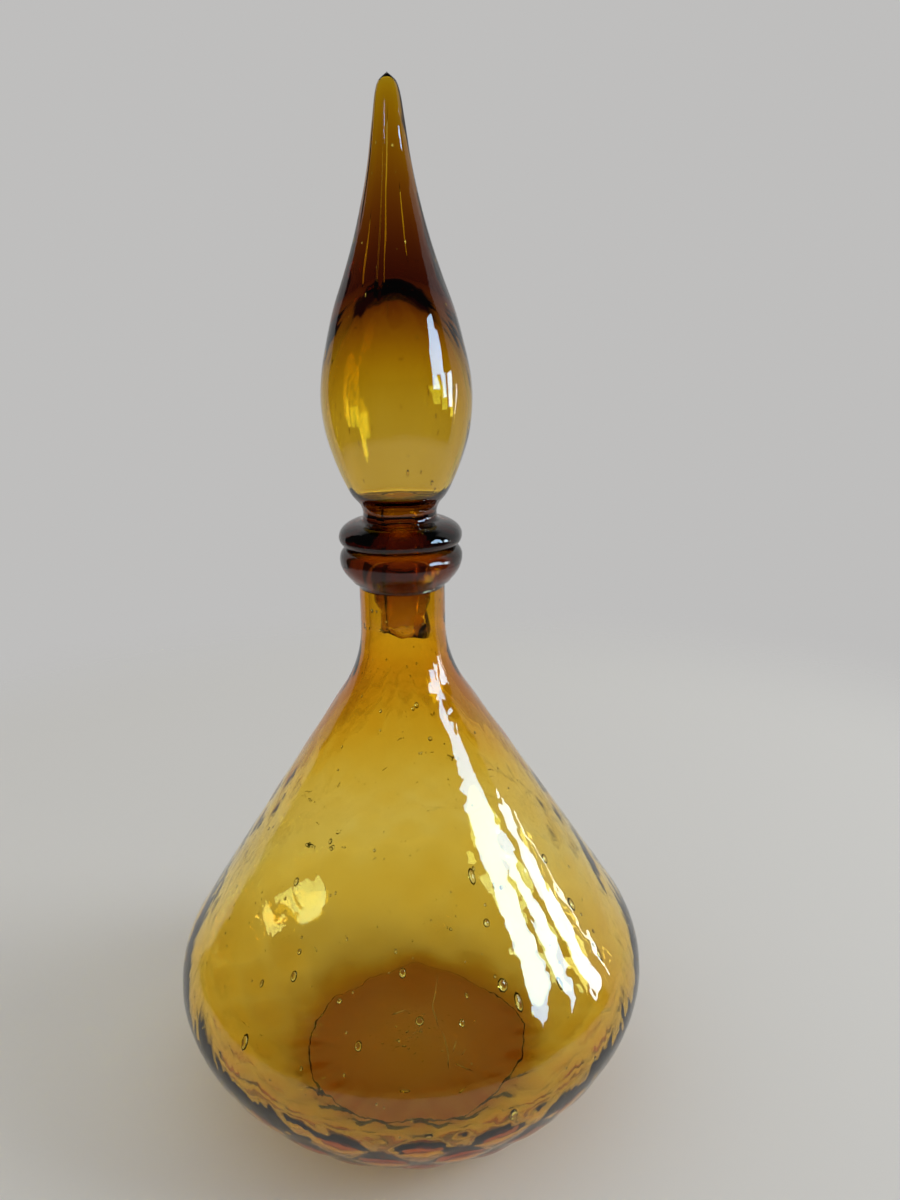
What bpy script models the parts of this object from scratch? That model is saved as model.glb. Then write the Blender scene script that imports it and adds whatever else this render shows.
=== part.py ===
# Blown amber glass decanter with a loose flame stopper. Metres, +Z up.
# The bottle stands on z = 0 and the Z axis is the axis of every turned piece.
import math

import bmesh
import bpy

# Bottle body, outside
BODY_RADIUS = 0.081        # at the widest ring
BELLY_HEIGHT = 0.046       # of the widest ring above the base
SHOULDER_ARC = 0.031       # radius of the curve from the belly into the cone
SHOULDER_ANGLE = 33.0      # degrees between the cone and the axis
NECK_FILLET = 0.040        # radius of the hollow curve from the cone into the neck
NECK_RADIUS = 0.0137
NECK_LENGTH = 0.0146       # straight part under the lip ring
BASE_RADIUS = 0.041        # of the flat underside
FOOT_ANGLE = 12.0          # degrees between the table and the glass where it leaves it
FOOT_WIDTH = 0.009         # of the flat ring that touches the table
KICK_HEIGHT = 0.0016       # how far the middle of the base is pushed up

# Bottle body, inside
NECK_WALL = 0.0028
BODY_WALL = 0.0018         # from the middle of the cone down to the belly
UNDER_WALL = 0.0027        # where the wall runs into the floor
FLOOR_THICKNESS = 0.0052   # over the table, at the axis
FLOOR_FILLET_HEIGHT = 0.004  # of the curve between the inner floor and the wall
FLOOR_FILLET_WIDTH = 0.012

# Quilted relief that the ribbed mould leaves on the body
DIAMONDS_AROUND = 20
DIAMOND_HEIGHT = 0.021     # from one diamond to the next below it, along the outline
RELIEF_DEPTH = 0.0005      # from the mean surface to a crest

# Lip ring, trailed round the mouth
LIP_RADIUS = 0.0195
LIP_HEIGHT = 0.0109
LIP_TOP_ROUND = 0.0034     # height of the curve from the widest edge to the flat top
LIP_TOP_INSET = 0.0030     # from the widest edge in to the flat top

# Stopper collar, the solid disc that rests on the lip ring
COLLAR_RADIUS = 0.0195
COLLAR_HEIGHT = 0.0082
COLLAR_UNDER_ROUND = 0.0031
WAIST_RADIUS = 0.0119      # where the flame grows out of the collar

# Flame, a hollow bulb drawn out to a solid point
FLAME_RADIUS = 0.0230
FLAME_LENGTH = 0.125
FLAME_WALL = 0.0027
HOLLOW_FLOOR = 0.0066      # from the collar up to the floor of the hollow
HOLLOW_HEIGHT = 0.0630
PASSAGE_RADIUS = 0.0034    # of the blow hole from the peg into the bulb

# Peg, the open tube that stands in the neck
PEG_LENGTH = 0.0286
PEG_STEP_LENGTH = 0.0176   # of the wider part at the top
PEG_CLEARANCE = 0.0010     # all round, between the widest part and the bore
PEG_TAPER = 0.0009         # how much the wider part narrows on its way down
PEG_STEP = 0.0016          # how far the lower part is set in
PEG_SLOPE = 0.0032         # height of the slope under the step
PEG_WALL = 0.0024
PEG_RAGGED = 0.0007        # of the broken lower edge, up and down

SEAM = 0.0003              # between pieces of glass that touch
OVERRUN = 0.004            # how far a cutter reaches past what it cuts
MERGE = 0.00005

STEPS_PER_DIAMOND = 4
INNER_STEPS_PER_DIAMOND = 3
BODY_SIDES = DIAMONDS_AROUND * STEPS_PER_DIAMOND
HOLLOW_SIDES = 40
RING_SIDES = 40
FLAME_SIDES = 32
PEG_SIDES = 28

# Outline of the flame: shares of its length and of its radius, from the collar to the tip
FLAME_SHARES = [
    (0.000, 0.517), (0.018, 0.500), (0.040, 0.542), (0.064, 0.650), (0.105, 0.760), (0.155, 0.865),
    (0.215, 0.957), (0.285, 1.000), (0.350, 0.978), (0.420, 0.902), (0.500, 0.785), (0.580, 0.625),
    (0.660, 0.478), (0.740, 0.362), (0.820, 0.268), (0.900, 0.200), (0.960, 0.150), (0.985, 0.100),
]
NIB_SHARES = [(0.991, 0.045), (0.997, 0.032), (1.000, 0.000)]  # the little thread-like end
DOME_POWER = 8.0           # how blunt the top of the hollow is
UNDER_START_SHARE = 0.33   # pull of the under curve's upper end, of the belly height
UNDER_END_SHARE = 0.51     # and of its lower end, of the distance from the base to the belly
LIP_FLARE_SHARE = 0.35     # how much of the lip ring's depth is left at its lower edge
LIP_CHAMFER_SHARE = 0.33   # of that depth, taken off where it meets the neck
WALL_FADE = 1.6            # the wall is down to BODY_WALL when 1/1.6 of the way to the belly is done
FILLET_SHARES = (0.7, 0.5, 0.4)  # pulls of the floor fillet: of its height in and down, of its width out
KICK_SHARES = (0.5, 0.75)  # a point of the pushed-up base: of its radius, of its height
RAGGED_WAVES = [(2, 1.0, 0.6), (5, 0.0, 0.4)]  # waves in the broken edge: count, shift, share
FOOT_FADE = 5              # the relief is whole at a fifth of the belly height
NECK_FADE = 2              # and half way from the neck down to the belly


def smooth_step(share):
    share = min(max(share, 0.0), 1.0)
    return share * share * (3.0 - 2.0 * share)


def arc(centre, radii, start, end, steps):
    """Points (r, z) on an ellipse from angle start to end, in degrees, both ends included."""
    points = []
    for i in range(steps + 1):
        angle = math.radians(start + (end - start) * i / steps)
        points.append((centre[0] + radii[0] * math.cos(angle), centre[1] + radii[1] * math.sin(angle)))
    return points


def bezier(first, first_pull, last_pull, last, steps):
    points = []
    for i in range(steps + 1):
        t = i / steps
        weights = ((1 - t) ** 3, 3 * t * (1 - t) ** 2, 3 * t * t * (1 - t), t ** 3)
        corners = (first, first_pull, last_pull, last)
        points.append(tuple(sum(w * c[k] for w, c in zip(weights, corners)) for k in (0, 1)))
    return points


def through(shares, steps):
    """Smooth curve through the share points, with steps points to each span."""
    padded = [shares[0]] + list(shares) + [shares[-1]]
    points = []
    for i in range(1, len(padded) - 2):
        before, start, end, after = padded[i - 1:i + 3]
        for step in range(steps):
            t = step / steps
            points.append(tuple(
                0.5 * (2 * start[k] + (end[k] - before[k]) * t
                       + (2 * before[k] - 5 * start[k] + 4 * end[k] - after[k]) * t * t
                       + (3 * start[k] - before[k] - 3 * end[k] + after[k]) * t ** 3)
                for k in (0, 1)))
    points.append(tuple(shares[-1]))
    return points


# Where the cone leaves the belly and where it runs into the neck
ANGLE = math.radians(SHOULDER_ANGLE)
CONE_LOW = (BODY_RADIUS - SHOULDER_ARC * (1 - math.cos(ANGLE)), BELLY_HEIGHT + SHOULDER_ARC * math.sin(ANGLE))
CONE_TOP_RADIUS = NECK_RADIUS + NECK_FILLET * (1 - math.cos(ANGLE))
CONE_TOP_HEIGHT = CONE_LOW[1] + (CONE_LOW[0] - CONE_TOP_RADIUS) / math.tan(ANGLE)
NECK_START = CONE_TOP_HEIGHT + NECK_FILLET * math.sin(ANGLE)
LIP_START = NECK_START + NECK_LENGTH
MOUTH_HEIGHT = LIP_START + LIP_HEIGHT
BORE_RADIUS = NECK_RADIUS - NECK_WALL
COLLAR_START = MOUTH_HEIGHT + SEAM
FLAME_START = COLLAR_START + COLLAR_HEIGHT + SEAM


def spaced(points, step):
    """The same curve with its points about one step apart, both ends kept."""
    run = [0.0]
    for start, end in zip(points, points[1:]):
        run.append(run[-1] + math.dist(start, end))
    count = max(2, round(run[-1] / step))
    result, span = [], 0
    for i in range(count + 1):
        place = run[-1] * i / count
        while span < len(points) - 2 and run[span + 1] < place:
            span += 1
        part = (place - run[span]) / (run[span + 1] - run[span])
        result.append(tuple(points[span][k] + (points[span + 1][k] - points[span][k]) * part for k in (0, 1)))
    return result


def body_curve():
    """Outside of the bottle from the foot of the neck down to the edge of the base, in fine steps."""
    points = arc((NECK_RADIUS + NECK_FILLET, NECK_START), (-NECK_FILLET, -NECK_FILLET), 0, SHOULDER_ANGLE, 12)
    belly = (BODY_RADIUS - SHOULDER_ARC, BELLY_HEIGHT)
    points += arc(belly, (SHOULDER_ARC, SHOULDER_ARC), SHOULDER_ANGLE, 0, 12)
    under = (BODY_RADIUS - BASE_RADIUS) * UNDER_END_SHARE
    foot_pull = (BASE_RADIUS + under, under * math.tan(math.radians(FOOT_ANGLE)))
    belly_pull = (BODY_RADIUS, BELLY_HEIGHT * (1 - UNDER_START_SHARE))
    return points + bezier((BODY_RADIUS, BELLY_HEIGHT), belly_pull, foot_pull, (BASE_RADIUS, 0), 30)[1:]


def outer_outline():
    """Outside of the bottle from the mouth down to the edge of the base, in steps of the relief."""
    neck = [(NECK_RADIUS, MOUTH_HEIGHT), (NECK_RADIUS, LIP_START)]
    return neck + spaced(body_curve(), DIAMOND_HEIGHT / STEPS_PER_DIAMOND)


def inner_outline():
    """The outside set in by the wall, from the mouth down to the middle of the floor."""
    outer = [(NECK_RADIUS, MOUTH_HEIGHT), (NECK_RADIUS, LIP_START)]
    outer += spaced(body_curve(), DIAMOND_HEIGHT / INNER_STEPS_PER_DIAMOND)
    floor = FLOOR_THICKNESS
    points = []
    for i in range(1, len(outer) - 1):
        above, here, below = outer[i - 1], outer[i], outer[i + 1]
        run, drop = below[0] - above[0], below[1] - above[1]
        length = math.hypot(run, drop)
        down = smooth_step((LIP_START - here[1]) / (LIP_START - CONE_LOW[1]) * WALL_FADE)
        wall = NECK_WALL + (BODY_WALL - NECK_WALL) * down
        wall += (UNDER_WALL - BODY_WALL) * smooth_step(1 - here[1] / BELLY_HEIGHT)
        point = (here[0] + drop / length * wall, here[1] - run / length * wall)
        if point[1] > floor + FLOOR_FILLET_HEIGHT:
            points.append(point)
    side = points[-1]
    floor_edge = side[0] - FLOOR_FILLET_WIDTH
    pull_in, pull_down, pull_out = FILLET_SHARES
    side_pull = (side[0] - FLOOR_FILLET_HEIGHT * pull_in, side[1] - FLOOR_FILLET_HEIGHT * pull_down)
    floor_pull = (floor_edge + FLOOR_FILLET_WIDTH * pull_out, floor)
    return points + bezier(side, side_pull, floor_pull, (floor_edge, floor), 5)[1:] + [(0, floor)]


def flame_radius(height):
    """Outside radius of the flame at a height above the collar, read off its outline."""
    outline = through(FLAME_SHARES + NIB_SHARES, 4)
    share = height / FLAME_LENGTH
    for low, high in zip(outline, outline[1:]):
        if low[0] <= share <= high[0]:
            part = (share - low[0]) / (high[0] - low[0])
            return FLAME_RADIUS * (low[1] + (high[1] - low[1]) * part)
    return 0.0


def glass(name, colour):
    material = bpy.data.materials.new(name)
    material.use_nodes = True
    shader = material.node_tree.nodes["Principled BSDF"]
    shader.inputs["Base Color"].default_value = (*colour, 1.0)
    shader.inputs["Roughness"].default_value = 0.04
    shader.inputs["Metallic"].default_value = 0.0
    shader.inputs["IOR"].default_value = 1.5
    shader.inputs["Transmission Weight"].default_value = 0.85
    material.diffuse_color = (*colour, 1.0)
    return material


def finish(obj, material, collection, parent=None):
    """Material, round shading, place in the file, and the parent with the world place kept."""
    obj.data.materials.clear()
    obj.data.materials.append(material)
    obj.data.shade_smooth()
    obj.data.set_sharp_from_angle(angle=math.radians(40))
    collection.objects.link(obj)
    if parent is not None:
        obj.parent = parent
        obj.matrix_parent_inverse = parent.matrix_world.inverted()
    return obj


def turned(name, outline, sides, closed=False):
    """A profile in the XZ plane with a Screw modifier. A closed outline makes a ring with a bore."""
    mesh = bpy.data.meshes.new(name)
    points = [(r, 0.0, z) for r, z in outline]
    edges = [(i, i + 1) for i in range(len(points) - 1)]
    if closed:
        edges.append((len(points) - 1, 0))
    mesh.from_pydata(points, edges, [])
    obj = bpy.data.objects.new(name, mesh)
    screw = obj.modifiers.new("turn", "SCREW")
    screw.axis = "Z"
    screw.angle = math.tau
    screw.steps = sides
    screw.render_steps = sides
    screw.use_merge_vertices = True
    screw.merge_threshold = MERGE
    screw.use_smooth_shade = True
    return obj


def solid(obj):
    """The turned object as a plain mesh of its own, so that its points can be moved."""
    holder = bpy.context.scene.collection
    holder.objects.link(obj)
    bpy.context.view_layer.update()
    evaluated = obj.evaluated_get(bpy.context.evaluated_depsgraph_get())
    mesh = bpy.data.meshes.new_from_object(evaluated)
    result = bpy.data.objects.new(obj.name + "_solid", mesh)
    name = obj.name
    profile = obj.data
    bpy.data.objects.remove(obj)
    bpy.data.meshes.remove(profile)
    result.name = name
    return result


def quilt(mesh):
    """Staggered diamonds that swell and sink on the body and fade out towards the foot and the neck."""
    outline = outer_outline()
    rows = len(outline) - 1
    built = bmesh.new()
    built.from_mesh(mesh)
    relief = {}
    for vertex in built.verts:
        radius, height = math.hypot(vertex.co.x, vertex.co.y), vertex.co.z
        relief[vertex] = 0.0
        if radius < NECK_RADIUS or not 0 < height < NECK_START:
            continue
        nearest = min(range(len(outline)), key=lambda row: math.dist(outline[row], (radius, height)))
        around = math.cos(DIAMONDS_AROUND * math.atan2(vertex.co.y, vertex.co.x))
        along = math.cos(math.tau * (rows - nearest) / STEPS_PER_DIAMOND)
        low_fade = smooth_step(height / BELLY_HEIGHT * FOOT_FADE)
        high_fade = smooth_step((NECK_START - height) / (NECK_START - BELLY_HEIGHT) * NECK_FADE)
        relief[vertex] = RELIEF_DEPTH * around * along * low_fade * high_fade
        vertex.co.x *= 1 + relief[vertex] / radius
        vertex.co.y *= 1 + relief[vertex] / radius
    for face in list(built.faces):
        if len(face.verts) == 4:
            a, b, c, d = face.verts
            level = abs(relief[a] - relief[c]) <= abs(relief[b] - relief[d])
            bmesh.utils.face_split(face, *((a, c) if level else (b, d)))
    built.to_mesh(mesh)
    built.free()


def bottle_body(collection, cutters, material):
    """Blown shell with a thick floor, a pushed-up base, a cone shoulder and an open neck."""
    outline = [(0, MOUTH_HEIGHT)] + outer_outline()
    foot_edge = BASE_RADIUS - FOOT_WIDTH
    outline += [(foot_edge, 0), (foot_edge * KICK_SHARES[0], KICK_HEIGHT * KICK_SHARES[1]), (0, KICK_HEIGHT)]
    body = solid(turned("bottle_body", outline, BODY_SIDES))
    quilt(body.data)
    finish(body, material, collection)

    top = MOUTH_HEIGHT + OVERRUN
    hollow = [(0, top), (BORE_RADIUS, top), (BORE_RADIUS, LIP_START)] + inner_outline()[1:]
    cutter = turned("bottle_hollow", hollow, HOLLOW_SIDES)
    cutter.hide_render = True
    cutter.display_type = "WIRE"
    cutters.objects.link(cutter)
    cut = body.modifiers.new("hollow", "BOOLEAN")
    cut.operation = "DIFFERENCE"
    cut.solver = "EXACT"
    cut.object = cutter
    return body


def lip_ring(collection, material):
    """Band of hot glass laid round the mouth, full at the top and thin where it meets the neck."""
    inside = NECK_RADIUS + SEAM
    widest = MOUTH_HEIGHT - LIP_TOP_ROUND
    depth = LIP_RADIUS - inside
    low = depth * LIP_FLARE_SHARE
    outline = [(inside, MOUTH_HEIGHT)]
    outline += arc((LIP_RADIUS - LIP_TOP_INSET, widest), (LIP_TOP_INSET, LIP_TOP_ROUND), 90, 0, 4)
    outline += arc((inside + low, widest), (depth - low, widest - LIP_START), 0, -90, 6)[1:]
    chamfer = low * LIP_CHAMFER_SHARE
    outline += [(inside + chamfer, LIP_START), (inside, LIP_START + chamfer)]
    return finish(turned("lip_ring", outline, RING_SIDES, closed=True), material, collection)


def stopper_collar(collection, material, parent):
    """Solid disc that carries the stopper on the lip ring, domed on top and rounded under its edge."""
    widest = COLLAR_START + COLLAR_UNDER_ROUND
    over = (COLLAR_RADIUS - WAIST_RADIUS, COLLAR_HEIGHT - COLLAR_UNDER_ROUND)
    under = (COLLAR_UNDER_ROUND, COLLAR_UNDER_ROUND)
    outline = [(PASSAGE_RADIUS, COLLAR_START + COLLAR_HEIGHT)]
    outline += arc((WAIST_RADIUS, widest), over, 90, 0, 6)
    outline += arc((COLLAR_RADIUS - COLLAR_UNDER_ROUND, widest), under, 0, -90, 4)[1:]
    outline += [(PASSAGE_RADIUS, COLLAR_START)]
    return finish(turned("stopper_collar", outline, RING_SIDES, closed=True), material, collection, parent)


def stopper_flame(collection, material, parent):
    """Bulb with a waist below and a solid drawn point above. The blow hole leaves its hollow open."""
    outside = [(share_r * FLAME_RADIUS, FLAME_START + share_z * FLAME_LENGTH)
               for share_z, share_r in through(FLAME_SHARES, 2) + NIB_SHARES]
    steps = 13
    inside = []
    for i in range(steps + 1):
        share = math.sin(math.pi / 2 * i / steps)
        height = HOLLOW_FLOOR + HOLLOW_HEIGHT * share
        room = flame_radius(height) - FLAME_WALL
        inside.append((room * math.sqrt(max(0.0, 1 - share ** DOME_POWER)), FLAME_START + height))
    inside[-1] = (0, FLAME_START + HOLLOW_FLOOR + HOLLOW_HEIGHT)
    passage = [(PASSAGE_RADIUS, FLAME_START), (PASSAGE_RADIUS, FLAME_START + HOLLOW_FLOOR)]
    outline = outside[::-1] + passage + inside
    return finish(turned("stopper_flame", outline, FLAME_SIDES), material, collection, parent)


def stopper_peg(collection, material, parent):
    """Open tube under the collar, stepped in half way down, with the broken edge of the blowing."""
    top, low = MOUTH_HEIGHT, MOUTH_HEIGHT - PEG_LENGTH
    step = top - PEG_STEP_LENGTH
    wide = BORE_RADIUS - PEG_CLEARANCE
    waist = wide - PEG_TAPER
    narrow = waist - PEG_STEP
    inner = narrow - PEG_WALL
    outline = [(PASSAGE_RADIUS, top), (wide, top), (waist, step), (narrow, step - PEG_SLOPE), (narrow, low),
               (inner, low), (inner, step - PEG_SLOPE), (PASSAGE_RADIUS, top - PEG_SLOPE)]
    peg = solid(turned("stopper_peg", outline, PEG_SIDES, closed=True))
    for vertex in peg.data.vertices:
        if vertex.co.z < low + SEAM:
            angle = math.atan2(vertex.co.y, vertex.co.x)
            vertex.co.z += PEG_RAGGED * sum(share * math.sin(count * angle + shift)
                                            for count, shift, share in RAGGED_WAVES)
    return finish(peg, material, collection, parent)


def main():
    for old in list(bpy.data.objects):
        bpy.data.objects.remove(old)
    part = bpy.data.collections.new("decanter")
    cutters = bpy.data.collections.new("cutters")
    for collection in (part, cutters):
        bpy.context.scene.collection.children.link(collection)

    lift = bpy.data.objects.new("stopper_lift", None)
    lift.location = (0, 0, COLLAR_START)
    part.objects.link(lift)
    bpy.context.view_layer.update()

    bottle_body(part, cutters, glass("body_glass", (0.60, 0.36, 0.05)))
    lip_ring(part, glass("lip_glass", (0.30, 0.13, 0.03)))
    stopper_collar(part, glass("collar_glass", (0.16, 0.06, 0.03)), lift)
    stopper_flame(part, glass("flame_glass", (0.52, 0.28, 0.03)), lift)
    stopper_peg(part, glass("peg_glass", (0.45, 0.22, 0.04)), lift)
    print("total height", round(FLAME_START + FLAME_LENGTH, 5), "mouth", round(MOUTH_HEIGHT, 5))


main()
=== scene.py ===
import math
import random

import bpy
import bmesh
from mathutils import Matrix, Vector, noise


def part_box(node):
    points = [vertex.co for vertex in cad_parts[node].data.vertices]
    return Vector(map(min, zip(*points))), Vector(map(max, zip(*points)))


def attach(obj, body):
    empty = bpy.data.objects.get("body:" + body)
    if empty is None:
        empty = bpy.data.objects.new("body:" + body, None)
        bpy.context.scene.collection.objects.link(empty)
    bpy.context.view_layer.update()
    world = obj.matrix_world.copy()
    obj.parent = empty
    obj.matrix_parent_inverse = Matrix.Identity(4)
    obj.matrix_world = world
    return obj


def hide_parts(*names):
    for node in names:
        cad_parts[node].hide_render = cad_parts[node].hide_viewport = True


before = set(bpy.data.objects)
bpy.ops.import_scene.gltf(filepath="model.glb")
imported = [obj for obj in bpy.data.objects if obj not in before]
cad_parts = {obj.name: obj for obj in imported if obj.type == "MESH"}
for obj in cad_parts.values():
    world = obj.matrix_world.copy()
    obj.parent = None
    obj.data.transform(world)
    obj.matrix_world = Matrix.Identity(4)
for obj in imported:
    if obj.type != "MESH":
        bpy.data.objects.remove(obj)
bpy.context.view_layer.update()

scene = bpy.context.scene
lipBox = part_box("lip_ring")
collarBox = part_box("stopper_collar")
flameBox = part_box("stopper_flame")
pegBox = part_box("stopper_peg")


# curves for the outlines: a point is (radius, height)

def arcPoints(centre, radii, start, end, steps):
    angles = [math.radians(start + (end - start) * i / steps) for i in range(steps + 1)]
    return [(centre[0] + radii[0] * math.cos(a), centre[1] + radii[1] * math.sin(a))
            for a in angles]


def bezierPoints(first, firstPull, lastPull, last, steps):
    corners = (first, firstPull, lastPull, last)
    points = []
    for i in range(steps + 1):
        t = i / steps
        weights = ((1 - t) ** 3, 3 * t * (1 - t) ** 2, 3 * t * t * (1 - t), t ** 3)
        points.append(tuple(sum(w * c[k] for w, c in zip(weights, corners)) for k in (0, 1)))
    return points


def throughPoints(marks, steps):
    # a smooth curve that passes through every mark
    padded = [marks[0]] + list(marks) + [marks[-1]]
    points = []
    for i in range(1, len(padded) - 2):
        before, start, end, after = padded[i - 1:i + 3]
        for step in range(steps):
            t = step / steps
            points.append(tuple(
                0.5 * (2 * start[k] + (end[k] - before[k]) * t
                       + (2 * before[k] - 5 * start[k] + 4 * end[k] - after[k]) * t * t
                       + (3 * start[k] - before[k] - 3 * end[k] + after[k]) * t ** 3)
                for k in (0, 1)))
    return points + [tuple(marks[-1])]


def runOf(points):
    # how far along the curve each point lies
    run = [0.0]
    for start, end in zip(points, points[1:]):
        run.append(run[-1] + math.dist(start, end))
    return run


def evenPoints(points, gap):
    # the same curve with its points about one gap apart
    run = runOf(points)
    count = max(2, round(run[-1] / gap))
    result, span = [], 0
    for i in range(count + 1):
        place = run[-1] * i / count
        while span < len(points) - 2 and run[span + 1] < place:
            span += 1
        part = (place - run[span]) / (run[span + 1] - run[span])
        start, end = points[span], points[span + 1]
        result.append(tuple(start[k] + (end[k] - start[k]) * part for k in (0, 1)))
    return result


def setIn(points, thickness):
    # the curve moved in towards the axis, square to itself, without its two end points
    moved = []
    for i in range(1, len(points) - 1):
        run = points[i + 1][0] - points[i - 1][0]
        drop = points[i + 1][1] - points[i - 1][1]
        length = math.hypot(run, drop)
        wall = thickness(points[i][1])
        moved.append((points[i][0] + drop / length * wall, points[i][1] - run / length * wall))
    return moved


def valueAt(marks, place):
    # marks are (place, value) in rising order, and past an end its value holds
    for (low, lowValue), (high, highValue) in zip(marks, marks[1:]):
        if low <= place <= high:
            return lowValue + (highValue - lowValue) * (place - low) / max(high - low, 1e-9)
    return marks[0][1] if place < marks[0][0] else marks[-1][1]


def smoothStep(share):
    share = min(max(share, 0.0), 1.0)
    return share * share * (3 - 2 * share)


# drawing a half outline point by point and turning it about the axis

def turnedPiece(name, outline, sides):
    bpy.ops.object.select_all(action="DESELECT")
    bpy.ops.mesh.primitive_plane_add(size=0.0004, location=(outline[0][0], 0, outline[0][1]))
    piece = bpy.context.object
    piece.name = name
    bpy.ops.object.mode_set(mode="EDIT")
    bpy.ops.mesh.select_all(action="SELECT")
    bpy.ops.mesh.merge(type="CENTER")
    for here, there in zip(outline, outline[1:]):
        bpy.ops.mesh.extrude_region_move(
            TRANSFORM_OT_translate={"value": (there[0] - here[0], 0, there[1] - here[1])})
    bpy.ops.object.mode_set(mode="OBJECT")
    bpy.ops.object.transform_apply(location=True, rotation=True, scale=True)
    turn = piece.modifiers.new("turn", "SCREW")
    turn.axis = "Z"
    turn.angle = math.tau
    turn.steps = turn.render_steps = sides
    turn.use_merge_vertices = True
    turn.merge_threshold = 0.00002
    bpy.ops.object.modifier_apply(modifier="turn")
    bpy.ops.object.mode_set(mode="EDIT")
    bpy.ops.mesh.select_all(action="SELECT")
    bpy.ops.mesh.remove_doubles(threshold=0.00001)
    bpy.ops.mesh.normals_make_consistent(inside=False)
    bpy.ops.object.mode_set(mode="OBJECT")
    bpy.ops.object.shade_smooth()
    return piece


# bubbles left in the glass

def addSeeds(piece, seeds):
    # each is a small hollow, so its faces look into it
    bpy.ops.object.select_all(action="DESELECT")
    bpy.ops.mesh.primitive_uv_sphere_add(segments=8, ring_count=5, radius=1, location=(0, 0, 0))
    seed = bpy.context.object
    bpy.ops.object.mode_set(mode="EDIT")
    bpy.ops.mesh.select_all(action="SELECT")
    bpy.ops.mesh.flip_normals()
    bpy.ops.object.mode_set(mode="OBJECT")
    bpy.ops.object.shade_smooth()
    copies = bmesh.new()
    for place, normal, drawn, halfSize in seeds:
        across = normal.cross(drawn).normalized()
        lengthwise = across.cross(normal).normalized()
        turn = Matrix((across, lengthwise, normal)).transposed().to_4x4()
        copy = seed.data.copy()
        copy.transform(Matrix.Translation(place) @ turn @ Matrix.Diagonal((*halfSize, 1)))
        copies.from_mesh(copy)
        bpy.data.meshes.remove(copy)
    copies.to_mesh(seed.data)
    copies.free()
    seed.data.shade_smooth()
    piece.select_set(True)
    bpy.context.view_layer.objects.active = piece
    bpy.ops.object.join()


def seedSize(kind):
    return kind["size"] * math.exp(random.gauss(0, kind["spread"]))


def wallPlace(curve, wall, height, angle, share):
    # a place inside a turned wall: its middle, the way out, and the way along the curve
    i = min(range(1, len(curve) - 1), key=lambda k: abs(curve[k][1] - height))
    (ra, za), (r, z), (rb, zb) = curve[i - 1:i + 2]
    slope = Vector((rb - ra, 0, zb - za)).normalized()
    normal = Vector((-slope.z, 0, slope.x))
    turn = Matrix.Rotation(angle, 3, "Z")
    return turn @ (Vector((r, 0, z)) - normal * wall * share), turn @ normal, turn @ slope


# amber glass

ripples = {"detail": 0.5, "roughness": 0.6}


def amberGlass(name, glass):
    # absorbed: the powers of red, green and blue lost in a metre of glass
    # drawn: below 1, the ripples are drawn out along the axis
    material = bpy.data.materials.new(name)
    material.use_nodes = True
    nodes, links = material.node_tree.nodes, material.node_tree.links
    shader = nodes["Principled BSDF"]
    shader.inputs["Base Color"].default_value = (*glass["tint"], 1)
    shader.inputs["Metallic"].default_value = 0
    shader.inputs["Roughness"].default_value = 0
    shader.inputs["IOR"].default_value = 1.5
    shader.inputs["Transmission Weight"].default_value = 1
    inside = nodes.new("ShaderNodeVolumeAbsorption")
    density = max(glass["absorbed"]) * 1.05
    inside.inputs["Color"].default_value = (*[1 - a / density for a in glass["absorbed"]], 1)
    inside.inputs["Density"].default_value = density
    links.new(inside.outputs["Volume"], nodes["Material Output"].inputs["Volume"])
    coordinates = nodes.new("ShaderNodeTexCoord")
    stretch = nodes.new("ShaderNodeVectorMath")
    stretch.operation = "MULTIPLY"
    stretch.inputs[1].default_value = (1, 1, glass["drawn"])
    links.new(coordinates.outputs["Object"], stretch.inputs[0])
    ripple = nodes.new("ShaderNodeTexNoise")
    ripple.inputs["Scale"].default_value = glass["scale"]
    ripple.inputs["Detail"].default_value = ripples["detail"]
    ripple.inputs["Roughness"].default_value = ripples["roughness"]
    links.new(stretch.outputs["Vector"], ripple.inputs["Vector"])
    bump = nodes.new("ShaderNodeBump")
    bump.inputs["Strength"].default_value = 1
    bump.inputs["Distance"].default_value = glass["depth"]
    links.new(ripple.outputs["Fac"], bump.inputs["Height"])
    links.new(bump.outputs["Normal"], shader.inputs["Normal"])
    return material


# bottle

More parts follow.
